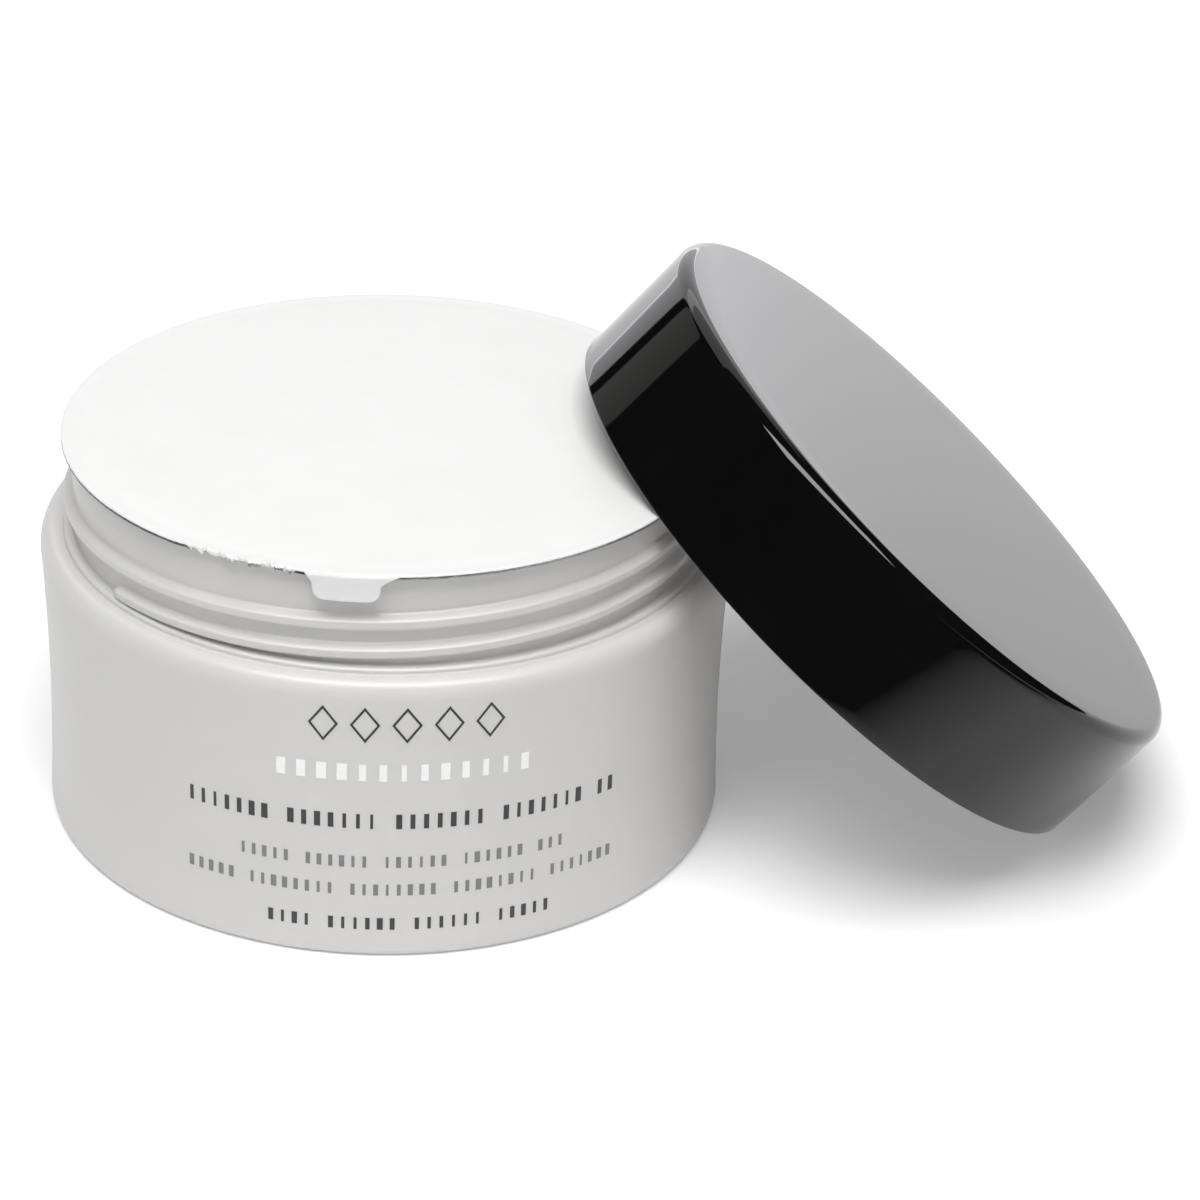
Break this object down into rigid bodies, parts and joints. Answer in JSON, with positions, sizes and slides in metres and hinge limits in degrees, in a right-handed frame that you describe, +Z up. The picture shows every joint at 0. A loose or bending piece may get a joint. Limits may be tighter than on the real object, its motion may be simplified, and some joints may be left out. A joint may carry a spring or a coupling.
{
  "type": "jar of facial wipes",
  "caption": "Round screw-top jar of facial wipes, foil-sealed with a pull tab, its black lid off and leaning on the jar's rim.",
  "frame": {"origin": "on the floor, under the middle of the whole pack's box", "axes": "+Z up along the jar's axis; +X from the jar towards the leaning lid; +Y away from the printed front"},
  "size_m": [0.1522, 0.092, 0.0742],
  "materials": {
    "jar_plastic": "pale warm grey moulded plastic with a soft sheen",
    "jar_print": "thin screen-printed bars in black, grey and white",
    "seal_foil": "white lacquered foil, silver along its cut edge",
    "lid_gloss": "polished black",
    "insert_plastic": "satin black",
    "liner_foam": "pressed white foam"
  },
  "bodies": {
    "root": {"jar": "jar_plastic", "foil_seal": "seal_foil", "lid_shell": "lid_gloss", "lid_insert": "insert_plastic", "lid_liner": "liner_foam"}
  },
  "joints": []
}
